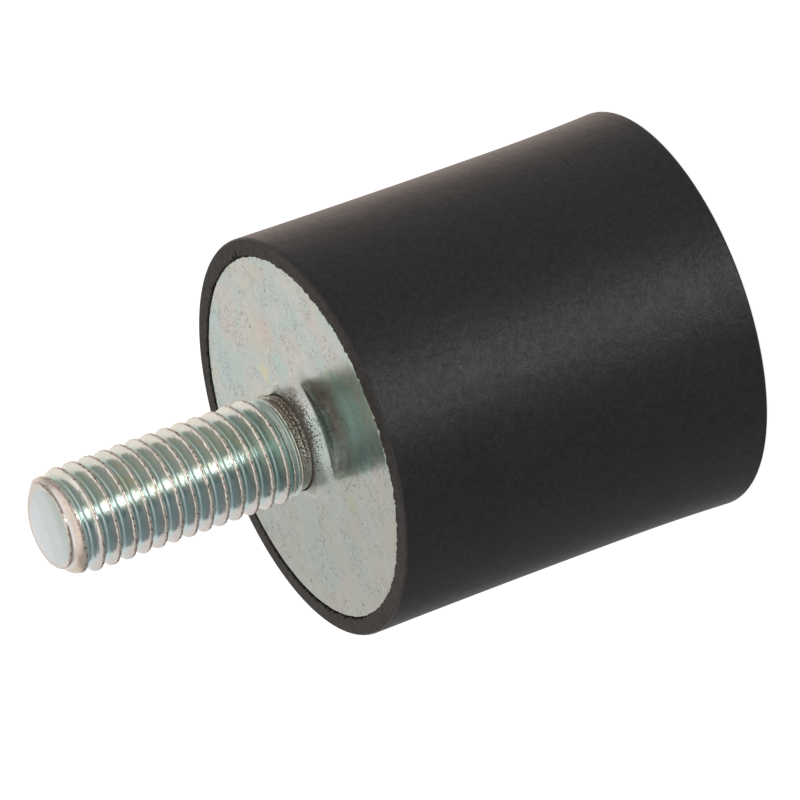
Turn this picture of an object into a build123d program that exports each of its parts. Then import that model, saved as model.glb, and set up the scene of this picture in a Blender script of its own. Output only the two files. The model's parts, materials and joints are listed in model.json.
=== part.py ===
"""Bobbin vibration mount: a rubber cylinder bonded to two steel end plates.

One end carries a headed stud, the other a tapped bush. The origin is the centre of the
bush end's face, and +Z runs along the axis towards the stud. Lengths are in millimetres.
"""

from build123d import *
import os
from math import radians, tan

# Rubber cylinder, with a shallow waist nearer to the bush end
body_height = 30.0
rim_radius = 15.0
waist_depth = 0.24
waist_height = 8.5
rim_edge = 0.25
rubber_cover = 1.3

# End plates, flush with the rubber's end faces
plate_thickness = 2.0
plate_edge = 0.25

# Collar drawn up from the stud's plate, round the stud's neck
collar_height = 1.15
collar_lip = 0.1
collar_flare = 1.2

# Headed stud, size M8
thread_radius = 4.0
thread_pitch = 1.25
neck_radius = 3.58
neck_length = 1.7
stud_reach = 20.8
tip_radius = 3.2
tip_length = 1.0
dish_radius = 2.8
dish_depth = 0.3
head_radius = 7.0
head_thickness = 2.0

# Tapped bush, size M8, with its flange behind its plate
bush_radius = 6.0
flange_radius = 8.0
flange_thickness = 2.0
bush_edge = 0.2
tap_depth = 8.0
mouth_radius = 4.3
drill_point_angle = 118.0
end_wall = 1.0

# Sizes and heights that follow from the ones above
plate_radius = rim_radius - rubber_cover
stud_seat = body_height - plate_thickness
head_back = stud_seat - head_thickness
collar_top = body_height + collar_height
lip_radius = neck_radius + collar_lip
foot_radius = lip_radius + collar_flare
neck_end = body_height + neck_length
stud_end = body_height + stud_reach
thread_depth_share = 0.5413
tap_radius = thread_radius - thread_depth_share * thread_pitch
drill_point = tap_radius / tan(radians(drill_point_angle / 2))
bush_length = tap_depth + drill_point + end_wall
flange_back = plate_thickness + flange_thickness


def half_section(*corners):
    """Closed flat outline on the radius and height plane, straight between its corners."""
    return make_face(Polyline(*corners, close=True))


def turned(section):
    """Solid swept by a half section once round the Z axis."""
    return revolve(Plane.XZ * section, Axis.Z)


def make_stud_plate():
    """Disc whose centre is drawn up into a trumpet-shaped collar with a flat lip."""
    outline = Polyline(
        (foot_radius, body_height),
        (plate_radius - plate_edge, body_height),
        (plate_radius, body_height - plate_edge),
        (plate_radius, stud_seat),
        (neck_radius, stud_seat),
        (neck_radius, collar_top),
        (lip_radius, collar_top),
    )
    flare = TangentArc(
        (foot_radius, body_height), (lip_radius, collar_top), tangent=(-1, 0)
    )
    return turned(make_face(outline + flare))


def make_threaded_stud():
    """Round head, reduced neck, shank at the thread's outer radius and a dished, chamfered tip."""
    run_out = thread_radius - neck_radius
    outline = Polyline(
        (0, stud_end - dish_depth),
        (0, head_back),
        (head_radius, head_back),
        (head_radius, stud_seat),
        (neck_radius, stud_seat),
        (neck_radius, neck_end),
        (thread_radius, neck_end + run_out),
        (thread_radius, stud_end - tip_length),
        (tip_radius, stud_end),
        (dish_radius, stud_end),
    )
    dish = TangentArc((0, stud_end - dish_depth), (dish_radius, stud_end), tangent=(1, 0))
    return turned(make_face(outline + dish))


def make_bush_plate():
    """Flat ring with a round hole for the bush."""
    return turned(half_section(
        (bush_radius, 0),
        (plate_radius - plate_edge, 0),
        (plate_radius, plate_edge),
        (plate_radius, plate_thickness),
        (bush_radius, plate_thickness),
    ))


def make_threaded_bush():
    """Flanged bush with a countersunk blind hole at the thread's inner radius."""
    return turned(half_section(
        (mouth_radius, 0),
        (bush_radius - bush_edge, 0),
        (bush_radius, bush_edge),
        (bush_radius, plate_thickness),
        (flange_radius, plate_thickness),
        (flange_radius, flange_back),
        (bush_radius, flange_back),
        (bush_radius, bush_length),
        (0, bush_length),
        (0, tap_depth + drill_point),
        (tap_radius, tap_depth),
        (tap_radius, mouth_radius - tap_radius),
    ))


def make_stud_seat():
    """Room in the rubber for the stud's plate and head."""
    return turned(half_section(
        (0, head_back),
        (head_radius, head_back),
        (head_radius, stud_seat),
        (plate_radius, stud_seat),
        (plate_radius, body_height),
        (0, body_height),
    ))


def make_bush_seat():
    """Room in the rubber for the bush and its plate."""
    return turned(half_section(
        (0, 0),
        (plate_radius, 0),
        (plate_radius, plate_thickness),
        (flange_radius, plate_thickness),
        (flange_radius, flange_back),
        (bush_radius, flange_back),
        (bush_radius, bush_length),
        (0, bush_length),
    ))


def make_rubber_body():
    """Waisted cylinder moulded round both plates, the stud's head and the bush.

    Two arcs meet at the waist, both upright there: a short one that flares to the bush
    end's rim, and a long one that opens gently to the stud end's rim. A small bevel
    breaks each rim.
    """
    low_rim = (rim_radius, rim_edge)
    high_rim = (rim_radius, body_height - rim_edge)
    waist = (rim_radius - waist_depth, waist_height)
    ends = Polyline(
        low_rim,
        (rim_radius - rim_edge, 0),
        (0, 0),
        (0, body_height),
        (rim_radius - rim_edge, body_height),
        high_rim,
    )
    flare = TangentArc(waist, low_rim, tangent=(0, -1))
    slope = TangentArc(waist, high_rim, tangent=(0, 1))
    return turned(make_face(ends + flare + slope)) - make_stud_seat() - make_bush_seat()


pieces = {
    "rubber_body": make_rubber_body(),
    "stud_plate": make_stud_plate(),
    "threaded_stud": make_threaded_stud(),
    "bush_plate": make_bush_plate(),
    "threaded_bush": make_threaded_bush(),
}

os.makedirs("parts", exist_ok=True)
for name, piece in pieces.items():
    export_step(piece, f"parts/{name}.step")
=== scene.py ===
import json

import bmesh
import bpy
import numpy as np
from bpy.props import FloatProperty, FloatVectorProperty, PointerProperty
from mathutils import Matrix, Vector


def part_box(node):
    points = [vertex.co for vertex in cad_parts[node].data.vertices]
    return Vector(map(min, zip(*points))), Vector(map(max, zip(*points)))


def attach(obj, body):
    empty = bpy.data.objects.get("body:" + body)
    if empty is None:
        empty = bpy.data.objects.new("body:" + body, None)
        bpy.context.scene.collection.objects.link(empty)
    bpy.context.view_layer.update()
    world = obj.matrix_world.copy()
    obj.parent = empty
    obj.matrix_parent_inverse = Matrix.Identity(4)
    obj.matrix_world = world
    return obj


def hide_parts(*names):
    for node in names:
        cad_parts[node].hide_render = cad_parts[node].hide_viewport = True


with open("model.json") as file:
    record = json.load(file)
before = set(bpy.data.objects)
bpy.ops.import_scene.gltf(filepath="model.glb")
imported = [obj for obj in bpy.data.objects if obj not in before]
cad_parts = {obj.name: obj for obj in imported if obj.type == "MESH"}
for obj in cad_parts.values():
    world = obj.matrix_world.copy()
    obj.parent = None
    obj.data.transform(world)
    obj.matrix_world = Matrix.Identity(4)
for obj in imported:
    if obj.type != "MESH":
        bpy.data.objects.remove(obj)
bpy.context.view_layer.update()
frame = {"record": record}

bl_info = {
    "name": "Bobbin vibration mount",
    "version": (1, 0, 0),
    "blender": (4, 5, 0),
    "location": "3D View > Sidebar > Mount",
    "description": "Builds the looks of a rubber vibration mount round its packed solids",
    "category": "Object",
}

# Lengths are worked out in millimetres and go into the meshes in metres.
MM = 0.001
MOUNTS = {mount["name"]: mount for mount in frame["record"]["mounts"]}


def reach(node):
    """Outer radius, lowest level and highest level of a CAD node, in millimetres."""
    low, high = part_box(node)
    return round(high.x / MM, 3), round(low.z / MM, 3), round(high.z / MM, 3)


RIM_RADIUS, _, BODY_HEIGHT = reach("rubber_body")
PLATE_RADIUS, PLATE_SEAT, COLLAR_TOP = reach("stud_plate")
HEAD_RADIUS, HEAD_BACK, STUD_END = reach("threaded_stud")
FLANGE_RADIUS, _, BUSH_LENGTH = reach("threaded_bush")
BUSH_PLATE_TOP = reach("bush_plate")[2]
THREAD_RADIUS = MOUNTS["stud"]["dims"]["r_mm"]
TAP_RADIUS = MOUNTS["tapped_hole"]["dims"]["r_mm"]
# The boxes of the frame don't show the bush's own radius and the back of its flange.
BUSH_RADIUS, FLANGE_BACK = 6, 4
WHITE = (1, 1, 1, 1)


def tone(red, green, blue):
    """Linear colour, with full alpha, of a colour given on the screen's scale of 0 to 255."""
    screen = np.array((red, green, blue), float) / 255
    linear = np.where(screen <= 0.04045, screen / 12.92, ((screen + 0.055) / 1.055) ** 2.4)
    return (*(float(c) for c in linear), 1)


def length(name, description, millimetres):
    """A length that the user can change, kept in metres."""
    return FloatProperty(
        name=name, description=description, default=millimetres * MM,
        min=0, precision=5, unit="LENGTH", subtype="DISTANCE",
    )


def colour(name, description, default):
    """A colour that the user can change, kept as linear values with alpha."""
    return FloatVectorProperty(
        name=name, description=description, default=default,
        size=4, min=0, max=1, subtype="COLOR",
    )


def share(name, description, default, most=1):
    """A plain number that the user can change."""
    return FloatProperty(
        name=name, description=description, default=default,
        min=0, max=most, precision=3, subtype="FACTOR",
    )


class MountRubber(bpy.types.PropertyGroup):
    """Sizes and colours of the moulded rubber."""

    rim_radius: length("Rim radius", "Radius of the cylinder at its rims", RIM_RADIUS)
    waist_depth: length("Waist depth", "How far the side draws in at its waist", 0.2)
    waist_height: length("Waist height", "Level of the waist above the bush end", 8.5)
    rim_round: length("Rim rounding", "Radius of the rounding at each rim", 0.22)
    ring_rise: length("Ring rise", "Height of the end's outer edge above the plate", 0.05)
    lip_rise: length("Lip rise", "Height of the end's inner edge above the plate", 0.08)
    lip_wander: length("Lip wander", "How far the rubber's inner edge strays", 0.07)
    base: colour("Rubber", "Body colour of the rubber", tone(23, 17, 16))
    dust: colour("Dust", "Colour of the dust specks", tone(120, 112, 105))
    roughness: share("Roughness", "Gloss of the rubber, from polished to matt", 0.39)


class MountSteel(bpy.types.PropertyGroup):
    """Sizes and colours of the zinc-plated pieces."""

    thread_radius: length("Thread radius", "Radius at the stud's crests", THREAD_RADIUS)
    pitch: length("Pitch", "Distance between crests", 1.25)
    neck_radius: length("Neck radius", "Radius of the plain neck and the rolled blank", 3.58)
    plate_edge: length("Plate edge", "Rounding at the plates' rims", 0.25)
    collar_foot: length("Collar foot", "Radius at which the collar leaves the plate", 4.88)
    zinc: colour("Zinc", "Plain colour of the plated plates", tone(207, 205, 198))
    cool: colour("Cool tint", "Blue-green cloud in the plating", tone(193, 205, 201))
    warm: colour("Warm tint", "Pink cloud in the plating", tone(214, 196, 190))
    cream: colour("Cream tint", "Yellow cloud in the plating", tone(208, 204, 182))
    bright: colour("Bright zinc", "Plain colour of the plated stud", tone(228, 222, 219))
    # Painted reflection colour: the teal low in the thread stands in for reflected light.
    groove: colour("Groove tint", "Plating low in the thread", tone(205, 219, 213))
    # Painted reflection tint on the +X side of the tip-facing flanks; their -X side is a
    # darker pink.
    flank_reflection_tint: colour("Straw tint", "Plating high on the thread's flanks", tone(243, 238, 224))
    cream_tip: colour("Tip tint", "Plating on the tip's bevel", tone(226, 212, 190))
    face: colour("Face tint", "Plating in the tip's dish", tone(212, 220, 221))
    worn: colour("Worn crest", "Rubbed crest of the thread", tone(224, 209, 194))
    residue: colour("Residue", "Dried brown residue round the neck", tone(70, 54, 43))


class MountStage(bpy.types.PropertyGroup):
    """Floor, backdrop and light."""

    floor: colour("Floor", "Colour of the floor", WHITE)
    shade: share("Floor shade", "Share of the floor's light that its shadow can take", 0.3)
    room: colour("Room", "Tone of the room on the camera's side", tone(180, 178, 177))
    backdrop: share("Backdrop", "Strength of the bright backdrop", 0.85, 4)
    overhead: share("Overhead", "Strength of the light above the stud", 0.98, 4)
    front: share("Front box", "Strength of the soft box in front", 7.5, 20)


# Meshes

def round_angles(columns):
    """Azimuths of the columns, with the first one repeated at the end to close the turn."""
    return np.linspace(0, 2 * np.pi, columns + 1)


def turned(radius, height, columns):
    """Profile carried round the Z axis: point (i, j) stands at radius r_i (or r_ij) and
    height z_i (or z_ij) on azimuth 2 pi j / columns. Going up the outside faces out."""
    azimuth = round_angles(columns)
    radius = np.asarray(radius, float)
    height = np.asarray(height, float)
    radius = radius[:, None] if radius.ndim == 1 else radius
    height = height[:, None] if height.ndim == 1 else height
    radius, height, azimuth = np.broadcast_arrays(radius, height, azimuth)
    return np.stack((radius * np.cos(azimuth), radius * np.sin(azimuth), height), axis=-1)


def grid_faces(rows, columns, first):
    """Quads of a grid of points, row by row, whose first point has the given number."""
    corner = first + np.arange(rows * columns).reshape(rows, columns)
    return np.stack(
        (corner[:-1, :-1], corner[:-1, 1:], corner[1:, 1:], corner[1:, :-1]), axis=-1
    ).reshape(-1, 4)


def arc(centre, radius, start, end, count):
    """Points on a circle in the radius and height plane, at even steps from one angle in
    degrees to another, each as (radius, height)."""
    angle = np.radians(np.linspace(start, end, count))
    return np.stack(
        (centre[0] + radius * np.cos(angle), centre[1] + radius * np.sin(angle)), axis=-1
    )


def straight(start, end, count):
    """Points at even steps on a straight line, each as (radius, height)."""
    step = np.linspace(0, 1, count)[:, None]
    return np.array(start, float) * (1 - step) + np.array(end, float) * step


def smooth_step(value, low, high):
    """0 below low, 1 above high, and the cubic 3t^2 - 2t^3 between them."""
    t = np.clip((value - low) / (high - low), 0, 1)
    return t * t * (3 - 2 * t)


def fade(value, low, high):
    """1 below low, 0 above high, and the same cubic between them."""
    return smooth_step(-value, -high, -low)


def wander(seed, columns, slowest, fastest, slope=0.5):
    """Closed random wave round the turn, of unit spread: white noise whose Fourier terms
    outside the two given counts of waves a turn are cut, and fall off as their count to
    the given slope. Its last value repeats the first."""
    noise = np.random.default_rng(seed).standard_normal(columns)
    terms = np.fft.rfft(noise)
    count = np.arange(terms.size, dtype=float)
    keep = (count >= slowest) & (count <= fastest)
    terms *= np.where(keep, np.maximum(count, 1) ** -slope, 0)
    wave = np.fft.irfft(terms, columns)
    wave /= wave.std()
    return np.append(wave, wave[0])


def put_piece(
    name, blocks, finish, nodes, marks=None, sharp=40
):
    """Stitches grids of points into one closed mesh at the origin and makes it a piece.

    Points that coincide are merged, so that poles, seams and the rings between blocks
    close. marks holds one list of value grids a block for each named point attribute."""
    points = np.concatenate([block.reshape(-1, 3) for block in blocks]) * MM
    faces, first = [], 0
    for block in blocks:
        rows, columns = block.shape[:2]
        faces.append(grid_faces(rows, columns, first))
        first += rows * columns
    mesh = bpy.data.meshes.new(name)
    mesh.from_pydata(points.tolist(), [], np.concatenate(faces).tolist())
    for mark, grids in (marks or {}).items():
        values = np.concatenate([
            np.broadcast_to(grid, block.shape[:2]).ravel()
            for grid, block in zip(grids, blocks)
        ])
        layer = mesh.attributes.new(mark, "FLOAT", "POINT")
        layer.data.foreach_set("value", values.astype(np.float32))
    work = bmesh.new()
    work.from_mesh(mesh)
    bmesh.ops.remove_doubles(work, verts=work.verts, dist=2e-7)
    bmesh.ops.dissolve_degenerate(work, dist=1e-8, edges=work.edges)
    work.to_mesh(mesh)
    open_edges = sum(1 for edge in work.edges if len(edge.link_faces) != 2)
    work.free()
    if open_edges:
        raise RuntimeError(f"{name} has {open_edges} edges that aren't closed")
    mesh.polygons.foreach_set("use_smooth", np.ones(len(mesh.polygons), bool))
    mesh.set_sharp_from_angle(angle=np.radians(sharp))
    mesh.materials.append(finish)
    piece = bpy.data.objects.new(name, mesh)
    bpy.context.scene.collection.objects.link(piece)
    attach(piece, "root")
    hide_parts(*nodes)
    return piece


THREAD_STOPS = (0, 0.045, 0.075, 0.105, 0.14, 0.33, 0.375, 0.42, 0.46, 0.5)
THREAD_DEPTHS = (0, 0.003, 0.022, 0.066, 0.134, 0.463, 0.535, 0.583, 0.605, 0.6134)
MID_FLANK = 0.235


def thread_profile(phase, crest, pitch):
    """Radius of an ISO thread at a phase counted in pitches from a crest: a flat an
    eighth of a pitch wide with eased corners, flanks that lean 30 degrees from the cross
    section, and a rounded root 0.6134 pitch below the crest."""
    away = np.abs(phase - np.round(phase))
    return crest - pitch * np.interp(away, THREAD_STOPS, THREAD_DEPTHS)


def helical_levels(low, high, pitch, offset, columns):
    """Levels of rows that follow a right-handed thread: row k at azimuth a stands at
    z_k + pitch a / 2 pi, held between low and high. The z_k repeat a fixed set of
    phases in each pitch, so that each crest, flank and root keeps its own rows."""
    after = np.sort((*THREAD_STOPS[1:], MID_FLANK))
    phases = np.concatenate((-after[-2::-1], (0,), after))
    first = int(np.floor((low - offset) / pitch)) - 2
    last = int(np.ceil((high - offset) / pitch)) + 2
    turns = np.arange(first, last + 1)
    base = offset + pitch * (turns[:, None] + phases).ravel()
    lead = pitch * round_angles(columns) / (2 * np.pi)
    level = np.clip(base[:, None] + lead, low, high)
    near = 0.006
    level = np.where(level < low + near, low, level)
    level = np.where(level > high - near, high, level)
    live = (level.min(axis=1) < high) & (level.max(axis=1) > low)
    live[max(np.argmax(live) - 1, 0)] = True
    live[min(len(live) - np.argmax(live[::-1]), len(live) - 1)] = True
    return level[live]


def rubber_profile(sizes, wobble):
    """Closed section of the rubber from its lower pole to its upper one, as radius and
    height grids. The side is two arcs that meet at the waist, r = r_w + R - sqrt(R^2 -
    (z - z_w)^2), each R set by its rim. Each rim is a quarter circle."""
    rim = sizes.rim_radius / MM
    depth, waist = sizes.waist_depth / MM, sizes.waist_height / MM
    ease, rise = sizes.rim_round / MM, sizes.lip_rise / MM
    end = BODY_HEIGHT + sizes.ring_rise / MM
    seat, top = PLATE_RADIUS, BODY_HEIGHT + rise
    foot_round, lip_round = 0.06, 0.1
    rim_zone = 2

    def side(level):
        """Radius of the side at a level, on the arc above or below the waist."""
        span = np.where(level < waist, waist, BODY_HEIGHT - waist)
        bow = (span ** 2 + depth ** 2) / (2 * depth)
        return rim - depth + bow - np.sqrt(bow ** 2 - (level - waist) ** 2)

    levels = np.concatenate((
        np.linspace(ease, rim_zone, 5)[:-1],
        np.linspace(rim_zone, BODY_HEIGHT - rim_zone, 32),
        np.linspace(BODY_HEIGHT - rim_zone, end - ease, 5)[1:],
    ))
    side_points = np.stack((side(levels), levels), axis=-1)
    low_round = arc((side(ease) - ease, ease), ease, -90, 0, 8)[:-1]
    high_round = arc((side(end - ease) - ease, end - ease), ease, 0, 90, 9)[1:]
    lower = np.concatenate((
        ((0, BUSH_LENGTH), (BUSH_RADIUS, BUSH_LENGTH)),
        ((BUSH_RADIUS, FLANGE_BACK), (FLANGE_RADIUS, FLANGE_BACK)),
        ((FLANGE_RADIUS, BUSH_PLATE_TOP), (seat, BUSH_PLATE_TOP)),
        straight((seat, 0.22), (seat, 0.02), 3),
        arc((seat + foot_round, foot_round), foot_round, 200, 270, 4),
        straight((seat + 0.3, 0), (rim - ease - 0.2, 0), 4),
    ))
    upper = np.concatenate((
        straight((rim - ease - 0.1, end + 0.004), (seat + 0.2, top - 0.01), 8),
        arc((seat + lip_round, top - lip_round), lip_round, 90, 180, 6),
        straight((seat, BODY_HEIGHT - 0.12), (seat, BODY_HEIGHT - 0.4), 3),
        ((seat, PLATE_SEAT), (HEAD_RADIUS, PLATE_SEAT)),
        ((HEAD_RADIUS, HEAD_BACK), (0, HEAD_BACK)),
    ))
    points = np.concatenate((lower, low_round, side_points, high_round, upper))
    radius, height = points[:, :1], points[:, 1:]
    near_lip = fade(np.abs(radius - seat), 0.1, 0.42)
    at_top = (height > BODY_HEIGHT - 0.3) * near_lip
    at_foot = (height < 0.25) * near_lip
    flat = (height > end - 0.02) | (height < 0.02)
    ring = flat & (radius > seat - 0.3)
    radius = radius + at_top * wobble["edge"] + at_foot * 0.4 * wobble["foot"]
    return radius, height + at_top * wobble["lift"], ring


def notches(azimuth, places):
    """Sum of bell curves on the azimuth, one for each (degrees, degrees wide, depth)."""
    total = np.zeros_like(azimuth)
    for degrees, wide, depth in places:
        gap = np.angle(np.exp(1j * (azimuth - np.radians(degrees))))
        total += depth * np.exp(-(gap / np.radians(wide)) ** 2)
    return total


# Node trees

class Bench:
    """A node tree with short calls that add a node, set its inputs and link them."""

    def __init__(self, tree):
        self.tree = tree

    def node(self, kind, inputs=None, **settings):
        """Adds a shader node, with settings as its properties and inputs by socket name."""
        made = self.tree.nodes.new("ShaderNode" + kind)
        for key, value in settings.items():
            setattr(made, key, value)
        return self.fill(made, inputs or {})

    def fill(self, node, inputs):
        """Sets or links a node's inputs, given by socket name."""
        for key, value in inputs.items():
            self.feed(node.inputs[key], value)
        return node

    def feed(self, socket, value):
        """Links an output to a socket, or sets the socket to a plain value."""
        if isinstance(value, bpy.types.NodeSocket):
            self.tree.links.new(value, socket)
        else:
            socket.default_value = value

    def math(self, operation, first, second=0, third=0, clamp=False):
        """Result of a sum on numbers."""
        made = self.node("Math", operation=operation, use_clamp=clamp)
        for socket, value in zip(made.inputs, (first, second, third)):
            self.feed(socket, value)
        return made.outputs[0]

    def times(self, first, second, clamp=False):
        """Product of two numbers."""
        return self.math("MULTIPLY", first, second, clamp=clamp)

    def line(self, value, slope, start):
        """A number times a slope, plus a start."""
        return self.math("MULTIPLY_ADD", value, slope, start)

    def vector(self, operation, first, second=(0, 0, 0)):
        """Result of a sum on vectors."""
        made = self.node("VectorMath", operation=operation)
        self.feed(made.inputs[0], first)
        self.feed(made.inputs[1], second)
        return made.outputs["Value" if operation in ("LENGTH", "DOT_PRODUCT") else "Vector"]

    def scaled(self, vector, factor):
        """A vector, or a colour, times a number."""
        made = self.node("VectorMath", {"Scale": factor}, operation="SCALE")
        self.feed(made.inputs[0], vector)
        return made.outputs["Vector"]

    def axes(self, vector):
        """The three coordinates of a vector."""
        return self.node("SeparateXYZ", {"Vector": vector}).outputs

    def ease(self, value, low, high, start=0, end=1):
        """Smooth step of a value from low to high, between two results."""
        names = ("Value", "From Min", "From Max", "To Min", "To Max")
        inputs = dict(zip(names, (value, low, high, start, end)))
        made = self.node("MapRange", inputs, interpolation_type="SMOOTHSTEP")
        return made.outputs["Result"]

    def mix(self, factor, first, second):
        """Colour between two colours."""
        made = self.node("Mix", data_type="RGBA")
        self.feed(made.inputs[0], factor)
        self.feed(made.inputs[6], first)
        self.feed(made.inputs[7], second)
        return made.outputs[2]

    def coats(self, colour_under, *layers):
        """A colour under others laid over it in turn, each as (factor, colour)."""
        for factor, shade in layers:
            colour_under = self.mix(factor, colour_under, shade)
        return colour_under

    def noise(self, vector, scale, detail=2, roughness=0.5, distortion=0):
        """Value of a noise texture, about 0.5 on average."""
        return self.node("TexNoise", {
            "Vector": vector, "Scale": scale, "Detail": detail,
            "Roughness": roughness, "Distortion": distortion,
        }).outputs["Fac"]

    def mark(self, name):
        """Value of a point attribute."""
        made = self.node("Attribute", attribute_name=name, attribute_type="GEOMETRY")
        return made.outputs["Fac"]

    def place(self):
        """Object coordinates, in millimetres."""
        coordinates = self.node("TexCoord").outputs["Object"]
        return self.vector("MULTIPLY", coordinates, (1 / MM, 1 / MM, 1 / MM))

    def bumps(self, *heights):
        """Normal of heights laid over one another, each as (height, millimetres)."""
        normal = None
        for height, depth in heights:
            made = self.node(
                "Bump", {"Height": height, "Distance": depth * MM, "Strength": 1}
            )
            if normal is not None:
                self.feed(made.inputs["Normal"], normal)
            normal = made.outputs["Normal"]
        return normal


def new_group(name, inputs, outputs):
    """Empty shader node group with a place and the named inputs: (bench, input sockets,
    output node). A sample value of one, three or four numbers gives a socket its kind."""
    kinds = {1: "NodeSocketFloat", 3: "NodeSocketVector", 4: "NodeSocketColor"}
    tree = bpy.data.node_groups.new(name, "ShaderNodeTree")
    for way, sockets in (("INPUT", {"Place": (0, 0, 0), **inputs}), ("OUTPUT", outputs)):
        for label, value in sockets.items():
            made = tree.interface.new_socket(
                name=label, in_out=way, socket_type=kinds[np.size(value)]
            )
            made.default_value = value
    bench = Bench(tree)
    given = tree.nodes.new("NodeGroupInput").outputs
    return bench, given, tree.nodes.new("NodeGroupOutput")


def cloudy_zinc_group():
    """Zinc plating: three tints in soft clouds over the plain colour."""
    bench, given, result = new_group(
        "Cloudy zinc",
        {"Cloud size": 1, "Plain": WHITE, "Cool": WHITE, "Warm": WHITE, "Cream": WHITE},
        {"Color": WHITE, "Cloud": 0},
    )
    place = bench.scaled(given["Place"], bench.math("DIVIDE", 1, given["Cloud size"]))
    wide = bench.noise(place, 0.22, 3, 0.55, 0.4)
    second = bench.noise(bench.vector("ADD", place, (31, 7, 13)), 0.22, 2, 0.55, 0.6)
    third = bench.noise(bench.vector("ADD", place, (-9, 23, 41)), 0.27, 2, 0.5, 0.3)
    fine = bench.noise(place, 1.6, 4, 0.65, 0.8)
    tint = bench.coats(
        given["Plain"],
        (bench.ease(wide, 0.38, 0.66), given["Cool"]),
        (bench.ease(second, 0.5, 0.75, 0, 0.6), given["Warm"]),
        (bench.ease(third, 0.5, 0.75, 0, 0.5), given["Cream"]),
    )
    grain = bench.ease(fine, 0.25, 0.75, 0.9, 1.05)
    bench.fill(result, {"Color": bench.scaled(tint, grain), "Cloud": fine})
    return bench.tree


def crinkle_group():
    """Fine dark crinkled lines that come in patches."""
    bench, given, result = new_group("Crinkle marks", {"Patches": 0.5}, {"Mask": 0})
    place = given["Place"]
    bend = bench.times(bench.noise(place, 1.3, 3, 0.6), 1.2)
    lines = bench.noise(bench.vector("ADD", place, bend), 1.5, 3, 0.62, 0.6)
    ridge = bench.math("ABSOLUTE", bench.math("SUBTRACT", lines, 0.5))
    thin = bench.ease(ridge, 0.005, 0.022, 1, 0)
    patch = bench.noise(bench.vector("ADD", place, (5, -17, 3)), 0.45, 2, 0.6)
    start = bench.math("SUBTRACT", 1, given["Patches"])
    where = bench.ease(patch, start, bench.math("ADD", start, 0.14))
    dashes = bench.ease(bench.noise(place, 3.4, 2, 0.6), 0.44, 0.56)
    bench.fill(result, {"Mask": bench.times(bench.times(thin, where), dashes)})
    return bench.tree


def speck_group():
    """Small round specks, one in a share of the cells of a random lattice."""
    bench, given, result = new_group(
        "Specks", {"Spacing": 1, "Radius": 0.05, "Share": 0.3}, {"Mask": 0}
    )
    per_mm = bench.math("DIVIDE", 1, given["Spacing"])
    cells = bench.node(
        "TexVoronoi", {"Vector": given["Place"], "Scale": per_mm},
        voronoi_dimensions="3D", feature="F1",
    ).outputs
    gap = bench.times(cells["Distance"], given["Spacing"])
    pick = bench.node("SeparateColor", {"Color": cells["Color"]}).outputs
    near = bench.ease(gap, bench.times(given["Radius"], 0.6), given["Radius"], 1, 0)
    chosen = bench.math("LESS_THAN", pick[0], given["Share"])
    faint = bench.line(pick[1], 0.7, 0.3)
    bench.fill(result, {"Mask": bench.times(bench.times(near, chosen), faint)})
    return bench.tree


def streak_group():
    """Fine marks that run round the axis, in patches."""
    bench, given, result = new_group(
        "Round streaks", {"Across": 6, "Along": 0.5}, {"Value": 0, "Patch": 0}
    )
    pull = bench.node("CombineXYZ", {
        "X": given["Along"], "Y": given["Along"], "Z": given["Across"],
    })
    place = bench.vector("MULTIPLY", given["Place"], pull.outputs[0])
    bench.fill(result, {
        "Value": bench.noise(place, 1, 3, 0.6),
        "Patch": bench.noise(given["Place"], 0.35, 2, 0.5),
    })
    return bench.tree


def stroke_group():
    """One short straight scratch: full on its line and fading at its ends and sides."""
    middle, way = (0, 0, 0), (1, 0, 0)
    bench, given, result = new_group(
        "Scratch stroke",
        {"Middle": middle, "Direction": way, "Half length": 1, "Half width": 0.05},
        {"Mask": 0},
    )
    way = bench.vector("NORMALIZE", given["Direction"])
    offset = bench.vector("SUBTRACT", given["Place"], given["Middle"])
    along = bench.vector("DOT_PRODUCT", offset, way)
    aside = bench.vector("SUBTRACT", offset, bench.scaled(way, along))
    half_width, half_length = given["Half width"], given["Half length"]
    thin = bench.ease(
        bench.vector("LENGTH", aside), bench.times(half_width, 0.3), half_width, 1, 0
    )
    ends = bench.ease(
        bench.math("ABSOLUTE", along), bench.times(half_length, 0.6), half_length, 1, 0
    )
    broken = bench.ease(bench.noise(given["Place"], 3, 2), 0.35, 0.5)
    bench.fill(result, {"Mask": bench.times(bench.times(thin, ends), broken)})
    return bench.tree


GROUPS = {}


def effect(bench, make_group, place, inputs):
    """Lays the node group that a function makes, made once, over a place: its outputs."""
    if make_group not in GROUPS:
        GROUPS[make_group] = make_group()
    made = bench.node("Group", {"Place": place, **inputs}, node_tree=GROUPS[make_group])
    return made.outputs


def new_material(name, kind="BsdfPrincipled"):
    """Material with one shader of the given kind: (material, bench, shader node)."""
    material = bpy.data.materials.new(name)
    material.use_nodes = True
    material.node_tree.nodes.clear()
    bench = Bench(material.node_tree)
    shader = bench.node(kind)
    bench.node("OutputMaterial", {"Surface": shader.outputs[0]})
    return material, bench, shader


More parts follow.
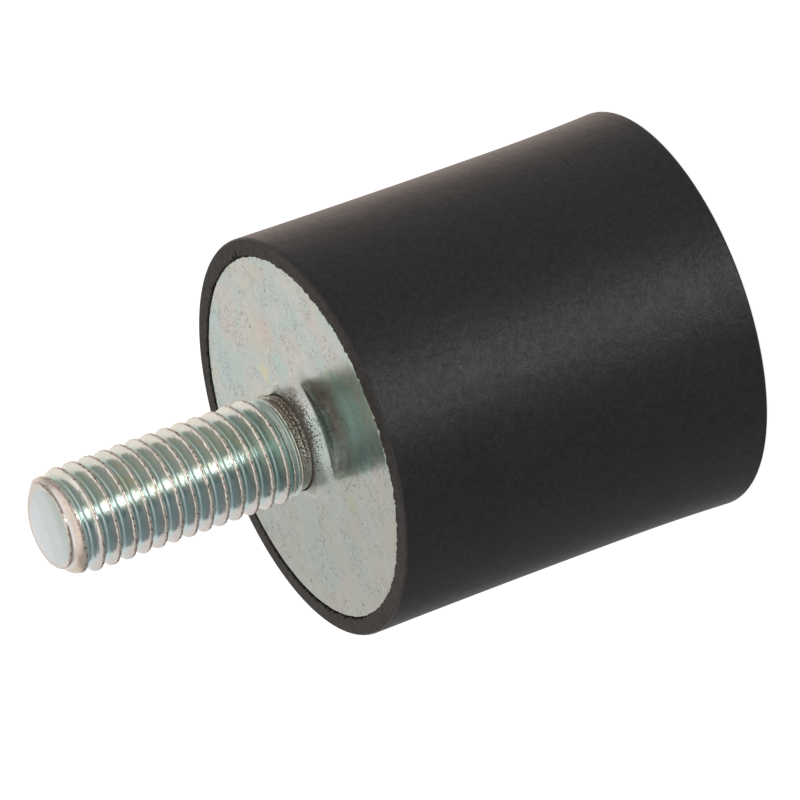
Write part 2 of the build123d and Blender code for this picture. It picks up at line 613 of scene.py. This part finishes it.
def rubber_material(sizes):
    """Moulded black rubber: fine grain, faint streaks round it, dust and a few scratches."""
    material, bench, shader = new_material("Moulded rubber")
    place = bench.place()
    streaks = effect(bench, streak_group, place, {"Across": 5, "Along": 0.6})
    grain = bench.noise(place, 6, 3, 0.6)
    patch = bench.noise(place, 0.16, 2, 0.5)
    ring = bench.mark("ring")
    mottle = bench.ease(bench.noise(place, 1.6, 4, 0.7), 0.3, 0.7)
    strokes = (
        ((1, -14.86, 22.9), (3.2, -0.25, 0.17), 1.9, 0.08),
        ((-0.6, -14.95, 23.5), (0.44, 0, -0.03), 0.5, 0.08),
        ((-0.2, -14.95, 29.25), (1.8, 0.02, -0.02), 1.1, 0.045),
        ((-1.48, -14.9, 24.3), (0.2, 0, 0.1), 0.15, 0.07),
    )
    scratches = 0
    for middle, way, half_length, half_width in strokes:
        mask = effect(bench, stroke_group, place, {
            "Middle": middle, "Direction": way,
            "Half length": half_length, "Half width": half_width,
        })["Mask"]
        scratches = bench.math("MAXIMUM", scratches, mask)
    dust = effect(
        bench, speck_group, place, {"Spacing": 0.9, "Radius": 0.055, "Share": 0.24}
    )["Mask"]
    tint = bench.coats(
        sizes.base,
        (bench.ease(patch, 0.35, 0.65), tone(20, 16, 17)),
        (ring, bench.mix(mottle, tone(26, 19, 14), tone(44, 33, 26))),
        (bench.times(dust, 0.6), sizes.dust),
        (bench.times(scratches, 0.8), sizes.dust),
    )
    worn = bench.ease(streaks["Patch"], 0.34, 0.56)
    fine = bench.times(streaks["Value"], worn)
    scuff = bench.ease(bench.noise(place, 2.4, 5, 0.8), 0.38, 0.62, -0.08, 0.08)
    rough = bench.line(streaks["Value"], 0.12, sizes.roughness - 0.11)
    rough = bench.line(grain, 0.1, rough)
    gloss = bench.line(ring, -0.18, 0.52)
    bench.fill(shader, {
        "Base Color": tint,
        "Roughness": bench.line(ring, 0.2, rough),
        "Specular IOR Level": bench.math("ADD", gloss, scuff),
        "Normal": bench.bumps((grain, 0.03), (fine, 0.03), (scratches, 0.03)),
    })
    return material


def zinc_base(bench, place, steel, cloud_size):
    """Cloudy plating colour and its fine value for one piece."""
    return effect(bench, cloudy_zinc_group, place, {
        "Cloud size": cloud_size, "Plain": steel.zinc,
        "Cool": steel.cool, "Warm": steel.warm, "Cream": steel.cream,
    })


def residue_mask(bench, place):
    """Brown specks that crowd where the residue attribute is high."""
    fine = bench.noise(place, 9, 1.5, 0.65)
    edge = bench.math("SUBTRACT", 0.74, bench.times(bench.mark("residue"), 0.34))
    return bench.ease(fine, edge, bench.math("ADD", edge, 0.08), 0, 0.88)


def finish_steel(bench, shader, tint, rough, normal, dirt=None):
    """Sets a plated finish, which is matt and no metal where there is dirt."""
    metal = 1
    if dirt is not None:
        rough = bench.line(dirt, 0.5, rough)
        metal = bench.math("SUBTRACT", 1, dirt, clamp=True)
    bench.fill(shader, {
        "Base Color": tint, "Roughness": rough, "Metallic": metal, "Normal": normal,
    })


def plate_material(steel):
    """Pale cloudy zinc with fine crinkled marks, stains, a grey darkening towards -X, residue
    where the neck comes up, and a painted reflection of the stud in teal and pale cyan on the
    -Y side.
    """
    material, bench, shader = new_material("Plate zinc")
    place = bench.place()
    zinc = zinc_base(bench, place, steel, 1)
    marks = effect(bench, crinkle_group, place, {"Patches": 0.58})["Mask"]
    blur = bench.noise(place, 0.9, 3, 0.6)
    stains_and_reflections = (
        (8.4, -0.1, 2, 0.5, (216, 192, 184)), (5.2, 2.4, 1.1, 0.9, (212, 208, 180)),
        (5.4, -0.6, 1.5, 0.8, (180, 204, 198)), (-7.6, -3.4, 1.6, 0.5, (206, 188, 174)),
        (-5.6, -4.6, 1.3, 0.5, (190, 190, 150)), (-9, -9.5, 2.6, 0.6, (206, 192, 182)),
        (-4, -7.5, 2.2, 0.5, (210, 204, 188)), (11, 5, 2.4, 0.5, (214, 200, 192)),
        # These two pale cyan patches on the -Y side are a painted reflection of the thread.
        (0.4, -9.6, 3, 0.75, (206, 236, 236)), (-2.2, -9, 2.8, 0.75, (200, 232, 232)),
    )
    tint = zinc["Color"]
    for across, deep, wide, weight, shade in stains_and_reflections:
        offset = bench.vector("SUBTRACT", place, (across, deep, BODY_HEIGHT))
        gap = bench.math("ADD", bench.vector("LENGTH", offset), 0.8)
        gap = bench.line(blur, -1.6, gap)
        tint = bench.mix(bench.ease(gap, 0.35 * wide, wide, weight, 0), tint, tone(*shade))
    # Grey darkening over the -X side of the plate, with a wavy edge.
    minus_x_darkening = bench.math("SUBTRACT", bench.axes(place)[0], 3)
    minus_x_darkening = bench.line(blur, 6, minus_x_darkening)
    # Mottle for the painted reflection of the stud.
    reflection_mottle = bench.ease(bench.noise(place, 6, 3, 0.75), 0.42, 0.58, 0.4, 1)
    dirt = residue_mask(bench, place)
    tint = bench.coats(
        tint,
        (bench.ease(minus_x_darkening, -6, 4, 0.56, 0), tone(153, 157, 150)),
        (bench.times(marks, 0.9), tone(84, 80, 74)),
        # Painted reflection of the stud: teal on the plate by the collar.
        (bench.times(bench.mark("stud_reflection"), reflection_mottle), tone(124, 146, 138)),
        (dirt, steel.residue),
    )
    normal = bench.bumps(
        (bench.noise(place, 5, 4, 0.6), 0.002),
        (bench.noise(place, 0.8, 2, 0.5), 0.008), (marks, -0.004),
    )
    rough = bench.ease(zinc["Cloud"], 0.3, 0.7, 0.13, 0.22)
    finish_steel(bench, shader, tint, rough, normal, dirt)
    return material


def bush_plate_material(steel):
    """Pale cloudy zinc of the clean plate at the bush end."""
    material, bench, shader = new_material("Bush plate zinc")
    place = bench.place()
    zinc = zinc_base(bench, place, steel, 1)
    marks = effect(bench, crinkle_group, place, {"Patches": 0.45})["Mask"]
    tint = bench.mix(bench.times(marks, 0.45), zinc["Color"], tone(110, 106, 100))
    rough = bench.ease(zinc["Cloud"], 0.3, 0.7, 0.15, 0.24)
    normal = bench.bumps((bench.noise(place, 5, 4, 0.6), 0.002))
    finish_steel(bench, shader, tint, rough, normal)
    return material


def stud_material(steel):
    """Bright zinc on a rolled thread with rubbed, pinkish crests. The blue-green grooves and
    the tints that change from side to side are painted reflection, the darker grooves near the
    plate painted shade, and the dish holds a painted shade and a painted highlight.
    """
    material, bench, shader = new_material("Stud zinc")
    place = bench.place()
    x, y, z = bench.axes(place)
    streaks = effect(bench, streak_group, place, {"Across": 14, "Along": 0.7})
    cloud = bench.noise(place, 0.8, 3, 0.6, 0.3)
    rubbed = bench.noise(place, 4.2, 3, 0.75)
    low, crest = bench.mark("low"), bench.mark("crest")
    # Painted reflection: a yellow tint in clouds on the +X side of the grooves.
    plus_x_reflection_tint = bench.times(bench.ease(cloud, 0.5, 0.66, 0, 0.7), bench.ease(x, -1.5, 1.5))
    # Painted reflection on the tip-facing flanks: pale straw on the +X side, darker pink on
    # the -X side.
    flank_reflection_tint = bench.mix(bench.ease(x, -3.2, 0.5), tone(210, 203, 199), steel.flank_reflection_tint)
    tip = bench.mix(bench.ease(rubbed, 0.42, 0.6), steel.cream_tip, tone(212, 195, 187))
    # The dish carries a painted shade, grey-green towards -Y, and a painted highlight, a pale
    # crescent towards +Y.
    across = bench.line(cloud, 1.6, bench.math("SUBTRACT", y, 0.8))
    dish = bench.coats(
        steel.face,
        (bench.ease(across, -3, 0.2, 0.9, 0), tone(166, 180, 170)),
        (bench.ease(across, 0.5, 1.8, 0, 0.8), tone(228, 231, 235)),
    )
    worn = bench.times(crest, bench.ease(rubbed, 0.38, 0.56, 0.25, 1))
    dirt = residue_mask(bench, place)
    tint = bench.coats(
        steel.bright,
        # Painted reflection colour: teal low in the thread.
        (low, steel.groove),
        # Painted reflection: the grooves turn cooler blue on the -X side.
        (bench.times(low, bench.ease(x, -2.6, 0.4, 0.8, 0)), tone(196, 217, 220)),
        (bench.times(low, plus_x_reflection_tint), tone(214, 218, 190)),
        # Painted shade: the grooves turn darker teal towards the plate.
        (bench.times(low, bench.ease(z, 32.5, 39, 0.6, 0)), tone(168, 194, 186)),
        (bench.times(bench.mark("high"), bench.ease(cloud, 0.35, 0.6, 0.5, 1)), flank_reflection_tint),
        (bench.mark("bevel"), tip),
        (bench.mark("face"), dish),
        (worn, steel.worn),
        (bench.times(crest, bench.ease(rubbed, 0.52, 0.6, 0, 0.85)), tone(104, 86, 76)),
        (bench.times(bench.mark("residue"), 0.8, clamp=True), tone(206, 190, 172)),
        (dirt, steel.residue),
    )
    rough = bench.ease(streaks["Value"], 0.3, 0.7, 0.1, 0.2)
    rough = bench.line(worn, 0.15, rough)
    normal = bench.bumps((streaks["Value"], 0.01), (bench.noise(place, 2.5, 3, 0.6), 0.01))
    finish_steel(bench, shader, tint, rough, normal, dirt)
    return material


def bush_material(steel):
    """Turned and plated bush: plain zinc with fine rings from the lathe."""
    material, bench, shader = new_material("Bush zinc")
    place = bench.place()
    zinc = zinc_base(bench, place, steel, 0.8)
    rings = effect(bench, streak_group, place, {"Across": 9, "Along": 0.8})["Value"]
    rough = bench.ease(rings, 0.3, 0.7, 0.16, 0.26)
    finish_steel(bench, shader, zinc["Color"], rough, bench.bumps((rings, 0.004)))
    return material


# Building steps

def build_rubber(sizes):
    """The rubber's closed section turned round the axis, with a ragged lip by the plate:
    each column's lip moves by two random waves and by a few notches."""
    columns = 720
    azimuth = round_angles(columns)
    stray = sizes.lip_wander / MM
    ragged = 0.8 * wander(3, columns, 20, 260, 0.35) + 0.5 * wander(4, columns, 2, 12)
    nicks = notches(azimuth, (
        (1.6, 0.7, 0.3), (-0.9, 0.5, 0.34), (-15.4, 0.6, 0.14), (-34.7, 0.5, 0.26),
        (-31, 0.35, 0.16), (-47, 0.5, 0.2), (-62, 0.45, 0.16), (-75, 0.5, 0.18),
        (-96, 0.4, 0.15), (-118, 0.5, 0.17), (-141, 0.4, 0.15), (27, 1.5, 0.14),
        (88, 0.6, 0.18), (152, 0.6, 0.16), (171, 0.4, 0.2),
    ))
    wobble = {
        "edge": np.maximum(stray * ragged, -0.12) + nicks - 0.03,
        "foot": stray * wander(5, columns, 6, 120),
        "lift": 0.012 * wander(6, columns, 8, 160),
    }
    radius, height, ring = rubber_profile(sizes, wobble)
    put_piece(
        "rubber_cylinder", [turned(radius, height, columns)], rubber_material(sizes),
        ("rubber_body",), {"ring": [ring]}, sharp=50,
    )


def build_plates(steel):
    """Both plates, turned from closed sections. The stud's plate ends in a collar whose
    flare is an arc stretched to meet the lip, and its residue falls off with the distance
    from the lip."""
    neck, foot = steel.neck_radius / MM, steel.collar_foot / MM
    edge = steel.plate_edge / MM
    columns = 360
    lip = 3.68
    bend = foot - lip
    flare = arc((foot, BODY_HEIGHT + bend), bend, 270, 186, 18)
    flare[:, 1] = BODY_HEIGHT + (flare[:, 1] - BODY_HEIGHT) * (
        (COLLAR_TOP - BODY_HEIGHT) / (flare[-1, 1] - BODY_HEIGHT)
    )
    flare[:, 0] = foot + (flare[:, 0] - foot) * bend / (foot - flare[-1, 0])
    section = np.concatenate((
        ((neck, PLATE_SEAT), (PLATE_RADIUS, PLATE_SEAT)),
        arc((PLATE_RADIUS - edge, BODY_HEIGHT - edge), edge, 0, 90, 7),
        straight((PLATE_RADIUS - edge - 0.3, BODY_HEIGHT), (foot + 0.3, BODY_HEIGHT), 24),
        flare,
        ((lip - 0.03, COLLAR_TOP), (neck + 0.05, COLLAR_TOP - 0.03)),
        straight((neck + 0.03, COLLAR_TOP - 0.14), (neck, PLATE_SEAT), 4),
    ))
    radius, height = section[:, :1], section[:, 1:]
    at_rim = smooth_step(radius, PLATE_RADIUS - edge - 0.05, PLATE_RADIUS)
    rim_noise = 0.02 * wander(11, columns, 30, 170, 0.2) * at_rim
    rim_noise = rim_noise * (height > PLATE_SEAT + 0.5)
    from_seam = np.hypot(radius - lip, height - COLLAR_TOP)
    patchy = 1 + 0.25 * wander(12, columns, 1, 9)
    azimuth = round_angles(columns)
    residue = 1.1 * np.exp(-(from_seam / 0.85) ** 1.2) * patchy
    residue = residue * (0.6 + 0.4 * np.cos(azimuth + 0.9)) + 0.9 * (from_seam < 0.045)
    residue = np.where(from_seam > 3, 0, residue)
    # A teal patch round the collar on the -Y side, 4.3 to 6.7 mm out, is a painted reflection
    # of the stud's neck and first turns.
    off_front = np.abs(np.degrees(np.angle(np.exp(1j * (azimuth + 1.3)))))
    reflection_inside, reflection_outside, reflection_angle = (4.3, 4.6), (5.2, 6.7), (26, 42)
    stud_reflection = smooth_step(radius, *reflection_inside) * fade(radius, *reflection_outside)
    stud_reflection = stud_reflection * fade(off_front, *reflection_angle) * (height > BODY_HEIGHT - 0.1)
    put_piece(
        "stud_end_plate", [turned(radius + rim_noise, height, columns)],
        plate_material(steel), ("stud_plate",),
        {"residue": [residue], "stud_reflection": [stud_reflection]},
    )
    ring = np.concatenate((
        ((BUSH_RADIUS, 0.12), (BUSH_RADIUS + 0.12, 0)),
        straight((BUSH_RADIUS + 0.4, 0), (PLATE_RADIUS - edge - 0.3, 0), 12),
        arc((PLATE_RADIUS - edge, edge), edge, 270, 360, 7),
        ((PLATE_RADIUS, BUSH_PLATE_TOP), (BUSH_RADIUS, BUSH_PLATE_TOP)),
        ((BUSH_RADIUS, 1), (BUSH_RADIUS, 0.12)),
    ))
    put_piece(
        "bush_end_plate", [turned(ring[:, 0], ring[:, 1], columns)],
        bush_plate_material(steel), ("bush_plate",),
    )


def build_stud(steel):
    """Head and neck, thread and dished tip, as three blocks that share their end rings.
    The thread's radius is worked out at rows that climb one pitch in each turn."""
    crest_radius, pitch = steel.thread_radius / MM, steel.pitch / MM
    neck = steel.neck_radius / MM
    columns, tracks = 192, 16
    azimuth = round_angles(columns)
    degrees = np.degrees(azimuth)
    crest_level, tip_low, tip_top = 42.5, 50.6, STUD_END - 0.05
    neck_top, thread_low, thread_high = 31, 31.4, tip_low - 0.2
    ridge_height, ridge_full = 0.24, 31.8
    thread_begins, thread_full = 32.5, 33.15
    longer, longer_between = 0.2, (45, 50.2)
    taper, taper_between = 0.27, (48.8, 49.6)
    bevel_radius, bevel_angle = 3.73, 110
    rough_crest = 0.016 * wander(21, columns * tracks, 8, 900, 0.4)[:-1]
    rough_crest = rough_crest.reshape(tracks, columns)
    rough_crest = np.concatenate((rough_crest, np.roll(rough_crest, -1, 0)[:, :1]), axis=1)
    past_start = np.where(degrees < bevel_angle, degrees + 360, degrees) - 180
    last_crest = 49.6 + pitch * past_start / 360
    bevel_rise = np.maximum(tip_low - last_crest, 0.05)
    starts = smooth_step(degrees, bevel_angle, 150) + (degrees < bevel_angle)
    rim_limit = np.interp(
        degrees, (0, 28, 48, 90, 116, 150, 180, 270, 360),
        (3.48, 3.2, 3.24, 3.44, 3.24, 3.1, 3.06, 3.25, 3.48),
    )

    def stretched(level):
        """Real level of a point on an even thread: the last turns are rolled longer."""
        return level + longer * smooth_step(level, *longer_between)

    def turn_at(level):
        """Pitches from the reference crest, and from the nearest crest."""
        turn = (level - crest_level) / pitch - azimuth / (2 * np.pi)
        return turn, turn - np.round(turn)

    def radius_at(level):
        """Neck, run-out ridges, thread and bevel, each where its level begins."""
        turn, off_crest = turn_at(level)
        which = np.mod(np.round(turn).astype(int), tracks)
        column = np.broadcast_to(np.arange(columns + 1), level.shape)
        profile = thread_profile(turn, crest_radius, pitch)
        profile = profile + rough_crest[which, column] * fade(np.abs(off_crest), 0.05, 0.15)
        grown = smooth_step(level, thread_begins, thread_full)
        ridges = np.maximum(np.cos(4 * np.pi * turn), 0) * (1 - grown)
        ridges = ridge_height * ridges * smooth_step(level, thread_low, ridge_full)
        profile = neck + grown * (profile - neck) + ridges
        real = stretched(level)
        tapered = crest_radius - taper * smooth_step(real, *taper_between)
        profile = np.minimum(profile, tapered)
        past = (real - last_crest) / bevel_rise
        fall = np.interp(past, (0, 0.12, 0.34, 0.54, 0.72, 0.8, 0.88, 1),
                         (0, 0.03, 0.18, 0.48, 0.94, 1.06, 1.08, 1))
        bevel = bevel_radius - (bevel_radius - rim_limit) * fall
        profile = np.where(past > 0, profile + starts * (bevel - profile), profile)
        return np.minimum(profile, rim_limit + 1.1 * np.maximum(tip_low + 0.06 - real, 0))

    thread = helical_levels(thread_low, thread_high, pitch, crest_level, columns)
    shaft = np.array((
        (0, HEAD_BACK), (HEAD_RADIUS, HEAD_BACK), (HEAD_RADIUS, PLATE_SEAT),
        (neck, PLATE_SEAT), (neck, BODY_HEIGHT), (neck, neck_top), (neck, neck_top + 0.2),
        (neck, thread_low),
    ))
    shaft_level = shaft[:, 1:]
    shaft_radius = np.repeat(shaft[:, :1], columns + 1, axis=1)
    shaft_radius[-1] = radius_at(np.full((1, columns + 1), thread_low))[0]
    rim = radius_at(np.full((1, columns + 1), thread_high))
    dish = rim - np.interp(
        degrees, (0, 60, 120, 180, 210, 250, 320, 345, 360),
        (0.5, 0.36, 0.32, 0.24, 0.14, 0.1, 0.14, 0.4, 0.5),
    )
    inward = np.array((1, 0.8, 0.5, 0.2, 0))[:, None]
    shrink = np.array((0.92, 0.8, 0.55, 0.28, 0))[:, None]
    face_radius = np.concatenate((dish + (rim - dish) * inward, dish * shrink))
    face_level = tip_top - np.array((
        tip_top - tip_low, 0.05, 0.004, 0, 0.03, 0.11, 0.19, 0.26, 0.3, 0.31,
    ))[:, None]
    real, off_crest = stretched(thread), turn_at(thread)[1]
    blocks = [
        turned(shaft_radius, shaft_level, columns),
        turned(radius_at(thread), real, columns),
        turned(face_radius, face_level, columns),
    ]
    away, tipward = np.abs(off_crest), off_crest > 0
    full = smooth_step(thread, 32.6, 33.1)
    half_turn = 2 * turn_at(thread)[0]
    partial = fade(np.abs(half_turn - np.round(half_turn)), 0.06, 0.16)
    partial = partial * smooth_step(thread, thread_low, 31.7)
    past_crest = (real - last_crest) / bevel_rise
    on_bevel = smooth_step(past_crest, 0.02, 0.14) * starts
    off_bevel = 1 - on_bevel
    rim_band = smooth_step(past_crest, 0.9, 0.97)
    crest = np.maximum(fade(away, 0.06, 0.11) * full * off_bevel, partial * (1 - full))
    crest = np.maximum(crest, 1.1 * rim_band * smooth_step(-np.sin(azimuth), -0.2, 0.5))
    low = np.maximum(smooth_step(away, 0.2, 0.3), ~tipward) * off_bevel
    high = fade(away, 0.2, 0.34) * tipward * full * off_bevel
    near_neck = fade(thread, 31.6, 33) * (0.52 + 0.5 * np.cos(azimuth + 0.8))
    near_neck = np.maximum(near_neck, 0.55 * smooth_step(real, tip_low - 0.12, tip_low - 0.05))
    neck_side = 0.5 + 0.5 * np.cos(azimuth + 0.9)
    face_row = np.arange(len(face_level))[:, None]
    # Each mark has its values on the shaft, on the thread and on the tip's face.
    marks = {
        "crest": [0, crest, 0.9 * (face_row < 2)],
        "low": [0, np.maximum(low, 1 - full), 0],
        "high": [0, high, 0],
        "bevel": [0, on_bevel * fade(past_crest, 0.55, 0.72), 0.4 * (face_row < 5)],
        "face": [0, 0, face_row >= 5],
        "residue": [
            0.95 * (shaft_level > 29.5) * neck_side, near_neck, 0.55 * (face_row < 1)
        ],
    }
    put_piece(
        "headed_stud", blocks, stud_material(steel), ("threaded_stud",), marks, sharp=60
    )


def build_bush(steel):
    """Drill point, tapped wall and turned outside, as three blocks."""
    pitch = steel.pitch / MM
    columns = 144
    azimuth = round_angles(columns)
    tap_depth, mouth, mouth_depth = 8, 4.3, 0.98
    groove_radius, groove_end = 4.06, 6.6

    def radius_at(level):
        """Tapped wall with its countersink: the thread fades out above the drill point."""
        turn = level / pitch - azimuth / (2 * np.pi)
        groove = np.maximum(thread_profile(turn, groove_radius, pitch), TAP_RADIUS)
        wall = TAP_RADIUS + fade(level, groove_end, tap_depth) * (groove - TAP_RADIUS)
        return np.maximum(wall, mouth - level * (mouth - TAP_RADIUS) / mouth_depth)

    levels = helical_levels(0, tap_depth, pitch, 0, columns)[::-1]
    drill = np.array(((0, BUSH_LENGTH - 1), (TAP_RADIUS, tap_depth)))
    body = np.array((
        (mouth, 0), (4.6, 0), (5.7, 0), (5.8, 0.02), (5.94, 0.08),
        (BUSH_RADIUS, 0.2), (BUSH_RADIUS, BUSH_PLATE_TOP), (FLANGE_RADIUS, BUSH_PLATE_TOP),
        (FLANGE_RADIUS, FLANGE_BACK), (BUSH_RADIUS, FLANGE_BACK),
        (BUSH_RADIUS, BUSH_LENGTH), (0, BUSH_LENGTH),
    ))
    body_radius = np.repeat(body[:, :1], columns + 1, axis=1)
    body_radius[0] = radius_at(np.zeros((1, columns + 1)))[0]
    blocks = [
        turned(drill[:, 0], drill[:, 1], columns),
        turned(radius_at(levels), levels, columns),
        turned(body_radius, body[:, 1:], columns),
    ]
    put_piece("tapped_bush", blocks, bush_material(steel), ("threaded_bush",))


def lay_floor(scene, stage):
    """Pale floor under the bush end. The camera sees it white, less its shadow."""
    half = 2
    mesh = bpy.data.meshes.new("floor")
    mesh.from_pydata(
        [(-half, -half, 0), (half, -half, 0), (half, half, 0), (-half, half, 0)],
        [], [(0, 1, 2, 3)],
    )
    floor = bpy.data.objects.new("floor", mesh)
    scene.collection.objects.link(floor)
    floor.location.z = -0.02 * MM
    for ray in ("glossy", "diffuse", "shadow"):
        setattr(floor, f"visible_{ray}", False)
    material, bench, both = new_material("Floor white", "MixShader")
    white = tuple(stage.floor)
    matt = bench.node("BsdfDiffuse", {"Color": white})
    glow_strength = 1.26
    glow = bench.node("Emission", {"Color": white, "Strength": glow_strength})
    for socket, value in zip(both.inputs, (stage.shade, glow.outputs[0], matt.outputs[0])):
        bench.feed(socket, value)
    mesh.materials.append(material)


def light_room(scene, stage):
    """White behind the object, a dim room on the camera's side, and soft boxes. Each patch
    of light is full inside its wide angle less its soft one, and gone past their sum."""
    world = bpy.data.worlds.new("Soft studio")
    scene.world = world
    world.use_nodes = True
    world.node_tree.nodes.clear()
    bench = Bench(world.node_tree)
    direction = bench.vector("NORMALIZE", bench.node("TexCoord").outputs["Generated"])
    light = tuple(stage.room)
    # Backdrop, light above, three patches behind and beside, dim patch and two front boxes
    patches = (
        ((0, 0.95, 0.3), 44, 13, (1, 0.99, 0.97), stage.backdrop),
        ((0, -0.35, 1), 55, 18, (1, 1, 1), stage.overhead),
        ((-0.66, 0.6, -0.62), 22, 13, (0.25, 0.24, 0.26), 1),
        ((0.36, 0.86, -0.36), 15, 11, (1, 0.81, 0.73), 1.15),
        ((-0.85, -0.3, -0.42), 26, 12, (0.34, 0.345, 0.35), 1),
        ((-0.46, -0.8, -0.46), 9, 6, (0.13, 0.19, 0.24), 1),
        ((0.06, -0.88, -0.46), 12, 6, (1, 0.97, 0.98), 0.34 * stage.front),
        ((0.04, -0.86, -0.5), 5.5, 3, (0.86, 0.95, 1), stage.front),
    )
    for towards, wide, soft, tint, strength in patches:
        along = bench.vector("DOT_PRODUCT", direction, Vector(towards).normalized())
        outer, inner = np.cos(np.radians((wide + soft, wide - soft)))
        bright = (*(c * strength for c in tint), 1)
        light = bench.mix(bench.ease(along, outer, inner), light, bright)
    seen = bench.node("LightPath").outputs["Is Camera Ray"]
    light = bench.mix(seen, light, WHITE)
    back = bench.node("Background", {"Color": light})
    bench.node("OutputWorld", {"Surface": back.outputs[0]})


def set_camera(scene):
    """Long lens at the photograph's viewing angle, rolled so that the stud points left."""
    rise, roll = np.radians(23.209), np.radians(-109.832)
    distance = 1000
    shift_right, shift_up = -5.923, -1.998
    back = Vector((0, -np.cos(rise), np.sin(rise)))
    level = Vector((1, 0, 0))
    upright = back.cross(level)
    right = level * np.cos(roll) + upright * np.sin(roll)
    up = upright * np.cos(roll) - level * np.sin(roll)
    place = Vector((0, 0, BODY_HEIGHT / 2)) + back * distance
    place = (place + right * shift_right + up * shift_up) * MM
    lens = bpy.data.cameras.new("camera")
    lens.sensor_width = 36
    lens.lens = 624.42
    lens.clip_start = 0.05
    lens.clip_end = 20
    camera = bpy.data.objects.new("camera", lens)
    scene.collection.objects.link(camera)
    turn = Matrix((right, up, back)).transposed().to_4x4()
    camera.matrix_world = Matrix.Translation(place) @ turn
    scene.camera = camera


# Operators

class MOUNT_OT_stage(bpy.types.Operator):
    """Set up the floor, the backdrop, the soft light and the camera"""

    bl_idname = "mount.build_stage"
    bl_label = "Stage"

    def execute(self, context):
        lay_floor(context.scene, context.scene.mount_stage)
        light_room(context.scene, context.scene.mount_stage)
        set_camera(context.scene)
        return {"FINISHED"}


class MOUNT_OT_rubber(bpy.types.Operator):
    """Build the rubber cylinder moulded round the steel pieces"""

    bl_idname = "mount.build_rubber"
    bl_label = "Rubber"

    def execute(self, context):
        build_rubber(context.scene.mount_rubber)
        return {"FINISHED"}


class MOUNT_OT_plates(bpy.types.Operator):
    """Build the two steel end plates"""

    bl_idname = "mount.build_plates"
    bl_label = "End plates"

    def execute(self, context):
        build_plates(context.scene.mount_steel)
        return {"FINISHED"}


class MOUNT_OT_stud(bpy.types.Operator):
    """Build the headed stud with its rolled thread"""

    bl_idname = "mount.build_stud"
    bl_label = "Threaded stud"

    def execute(self, context):
        build_stud(context.scene.mount_steel)
        return {"FINISHED"}


class MOUNT_OT_bush(bpy.types.Operator):
    """Build the flanged bush with its tapped hole"""

    bl_idname = "mount.build_bush"
    bl_label = "Tapped bush"

    def execute(self, context):
        build_bush(context.scene.mount_steel)
        return {"FINISHED"}


class MOUNT_PT_panel(bpy.types.Panel):
    """Lists the steps that build the mount"""

    bl_idname = "MOUNT_PT_panel"
    bl_label = "Vibration mount"
    bl_space_type = "VIEW_3D"
    bl_region_type = "UI"
    bl_category = "Mount"

    def draw(self, context):
        for group in ("mount_rubber", "mount_steel", "mount_stage"):
            settings = getattr(context.scene, group)
            box = self.layout.box()
            for name in settings.__annotations__:
                box.prop(settings, name)
        for operator in OPERATORS:
            self.layout.operator(operator.bl_idname)


GROUP_OF = {
    "mount_rubber": MountRubber, "mount_steel": MountSteel, "mount_stage": MountStage,
}
OPERATORS = (
    MOUNT_OT_stage, MOUNT_OT_rubber, MOUNT_OT_plates, MOUNT_OT_stud, MOUNT_OT_bush,
)
CLASSES = (*GROUP_OF.values(), *OPERATORS, MOUNT_PT_panel)


def register():
    """Makes the classes and the scene's groups of settings known to Blender."""
    for made in CLASSES:
        bpy.utils.register_class(made)
    for name, group in GROUP_OF.items():
        setattr(bpy.types.Scene, name, PointerProperty(type=group))


def unregister():
    """Takes the settings and the classes out again, in the opposite order."""
    for name in GROUP_OF:
        delattr(bpy.types.Scene, name)
    for made in reversed(CLASSES):
        bpy.utils.unregister_class(made)


def main():
    """Builds the stage and every piece."""
    register()
    bpy.context.scene.view_settings.view_transform = "Standard"
    bpy.ops.mount.build_stage()
    bpy.ops.mount.build_rubber()
    bpy.ops.mount.build_plates()
    bpy.ops.mount.build_stud()
    bpy.ops.mount.build_bush()


if __name__ == "__main__":
    main()
